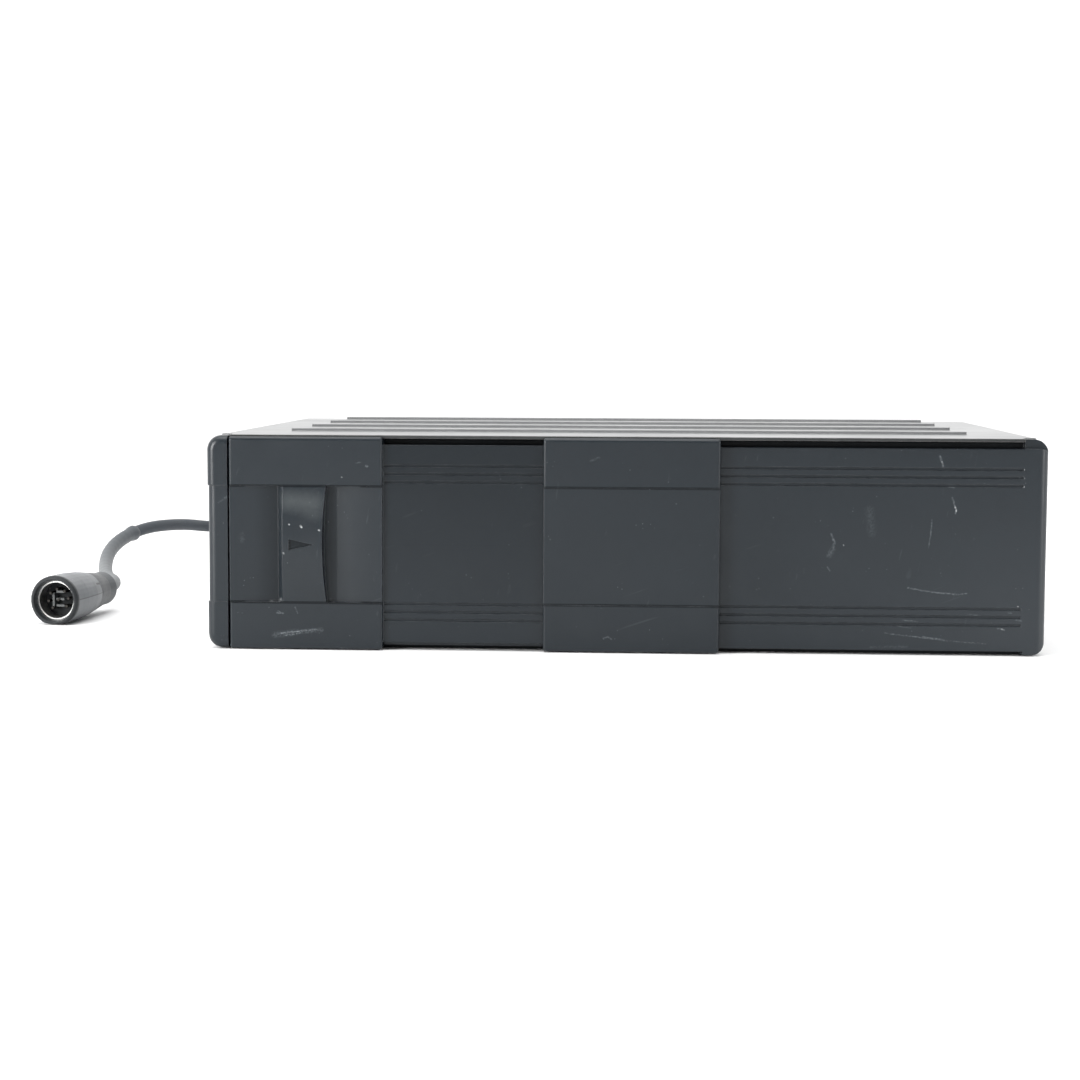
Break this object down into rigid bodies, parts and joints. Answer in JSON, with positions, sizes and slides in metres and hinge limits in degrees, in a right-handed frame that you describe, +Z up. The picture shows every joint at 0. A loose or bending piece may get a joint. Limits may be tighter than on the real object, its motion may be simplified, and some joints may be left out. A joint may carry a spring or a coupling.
{
  "type": "car disc changer",
  "caption": "Boot-mounted disc changer: steel case, moulded front with a two-stage sliding door, eject key, magazine with trays, lifting play deck, and a lead with a round multi-pin plug.",
  "frame": {"origin": "middle of the case's footprint, on the surface that the case stands on", "axes": "+Z up, +X to the right seen from the front, +Y to the rear; the sliding door faces -Y"},
  "size_m": [0.3306, 0.2245, 0.0674],
  "materials": {
    "case_steel": "satin grey zinc-coated sheet",
    "front_moulding": "fine-grained dark slate moulding",
    "magazine_plastic": "black moulding",
    "tray_plastic": "grey moulding",
    "zinc_sheet": "bare pressed sheet",
    "bright_steel": "ground or plated",
    "motor_can": "drawn can",
    "white_acetal": "natural acetal",
    "black_plastic": "moulded",
    "damper_rubber": "soft black",
    "board_laminate": "green laminate",
    "sink_aluminium": "extruded",
    "clear_lens": "coated lens",
    "lead_rubber": "flexible jacket",
    "plug_moulding": "moulded grey",
    "collar_plastic": "dark collar",
    "pin_brass": "plated contacts"
  },
  "bodies": {
    "root": {"bottom_chassis": "case_steel", "top_cover": "case_steel", "front_bezel": "front_moulding", "latch_bracket": "zinc_sheet", "eject_spring": "bright_steel", "magazine_shell": "magazine_plastic", "magazine_bay": "zinc_sheet", "float_frame": "zinc_sheet", "damper_cups": "damper_rubber", "suspension_springs": "bright_steel", "lift_motor": "motor_can", "main_board": "board_laminate", "board_posts": "white_acetal", "board_chips": "black_plastic", "heat_sink": "sink_aluminium", "lead_header": "white_acetal", "cover_screws": "bright_steel", "nut_strips": "zinc_sheet", "lead": "lead_rubber", "lead_gland": "lead_rubber", "plug_body": "plug_moulding", "plug_collar": "collar_plastic", "plug_shell": "bright_steel", "plug_insert": "collar_plastic", "plug_pins": "pin_brass", "disc_tray_2": "tray_plastic", "disc_tray_3": "tray_plastic", "disc_tray_4": "tray_plastic", "disc_tray_5": "tray_plastic", "disc_tray_6": "tray_plastic"},
    "centre_door": {"centre_slider": "front_moulding"},
    "grip_slide_door": {"grip_door": "front_moulding"},
    "eject_key": {"eject_button": "front_moulding"},
    "eject_crank": {"eject_lever": "zinc_sheet"},
    "front_tray": {"disc_tray_1": "tray_plastic"},
    "play_deck": {"deck_plate": "zinc_sheet", "spindle_motor": "motor_can", "guide_rods": "bright_steel", "sled_motor": "motor_can", "clamp_pin": "bright_steel"},
    "disc_table": {"turntable": "black_plastic"},
    "disc_clamp": {"clamp_arm": "zinc_sheet"},
    "clamp_disc": {"clamp_puck": "black_plastic"},
    "pickup": {"pickup_sled": "black_plastic", "pickup_lens": "clear_lens"},
    "feed_screw": {"leadscrew": "bright_steel"},
    "rear_cam": {"lift_cam_rear": "white_acetal"},
    "side_cam": {"lift_cam_side": "white_acetal"},
    "lift_wheel": {"lift_gear": "white_acetal"},
    "motor_pinion": {"drive_pinion": "white_acetal"},
    "dial_left": {"angle_dial_left": "black_plastic"},
    "dial_right": {"angle_dial_right": "black_plastic"}
  },
  "joints": [
    {"name": "centre_slide", "type": "slide", "parent": "root", "child": "centre_door", "axis": [1, 0, 0], "range_m": [0, 0.0922]},
    {"name": "grip_slide", "type": "slide", "parent": "centre_door", "child": "grip_slide_door", "axis": [1, 0, 0], "range_m": [0, 0.0494]},
    {"name": "eject_press", "type": "slide", "parent": "root", "child": "eject_key", "axis": [0, 1, 0], "range_m": [0, 0.0025], "stiffness_N_per_m": 300, "springref_m": -0.001},
    {"name": "eject_swing", "type": "hinge", "parent": "root", "child": "eject_crank", "pos_m": [0.02325, -0.0637, 0.0553], "axis": [0, 0, 1], "range_deg": [-9, 0]},
    {"name": "tray_slide", "type": "slide", "parent": "root", "child": "front_tray", "axis": [-1, 0, 0], "range_m": [-0.1007, 0]},
    {"name": "deck_lift", "type": "slide", "parent": "root", "child": "play_deck", "axis": [0, 0, 1], "range_m": [0, 0.025]},
    {"name": "table_spin", "type": "hinge", "parent": "play_deck", "child": "disc_table", "pos_m": [0.04435, -0.0125, 0.012], "axis": [0, 0, 1], "continuous": true},
    {"name": "clamp_swing", "type": "hinge", "parent": "play_deck", "child": "disc_clamp", "pos_m": [0.11495, -0.0125, 0.0251], "axis": [0, 1, 0], "range_deg": [0, 4]},
    {"name": "puck_spin", "type": "hinge", "parent": "disc_clamp", "child": "clamp_disc", "pos_m": [0.04435, -0.0125, 0.0256], "axis": [0, 0, 1], "continuous": true},
    {"name": "sled_slide", "type": "slide", "parent": "play_deck", "child": "pickup", "axis": [1, 0, 0], "range_m": [0, 0.032]},
    {"name": "screw_spin", "type": "hinge", "parent": "play_deck", "child": "feed_screw", "pos_m": [0.09, 0.0115, 0.0094], "axis": [1, 0, 0], "range_deg": [0, 3841]},
    {"name": "rear_cam_slide", "type": "slide", "parent": "root", "child": "rear_cam", "axis": [1, 0, 0], "range_m": [0, 0.025]},
    {"name": "side_cam_slide", "type": "slide", "parent": "root", "child": "side_cam", "axis": [0, 1, 0], "range_m": [0, 0.025]},
    {"name": "wheel_spin", "type": "hinge", "parent": "root", "child": "lift_wheel", "pos_m": [0.06325, 0.052, 0.053], "axis": [0, 1, 0], "range_deg": [-287, 0]},
    {"name": "pinion_spin", "type": "hinge", "parent": "root", "child": "motor_pinion", "pos_m": [0.07275, 0.0538, 0.053], "axis": [0, 1, 0], "range_deg": [0, 803]},
    {"name": "dial_left_turn", "type": "hinge", "parent": "root", "child": "dial_left", "pos_m": [-0.12695, 0, 0.0245], "axis": [1, 0, 0], "range_deg": [0, 90]},
    {"name": "dial_right_turn", "type": "hinge", "parent": "root", "child": "dial_right", "pos_m": [0.12695, 0, 0.0245], "axis": [1, 0, 0], "range_deg": [0, 90]}
  ],
  "couplings": [
    {"joint": "eject_swing", "follows": "eject_press", "rad_per_m": -62.5},
    {"joint": "screw_spin", "follows": "sled_slide", "rad_per_m": 2094.4},
    {"joint": "rear_cam_slide", "follows": "deck_lift", "ratio": 1},
    {"joint": "side_cam_slide", "follows": "deck_lift", "ratio": 1},
    {"joint": "wheel_spin", "follows": "deck_lift", "rad_per_m": -200},
    {"joint": "pinion_spin", "follows": "deck_lift", "rad_per_m": 560}
  ]
}
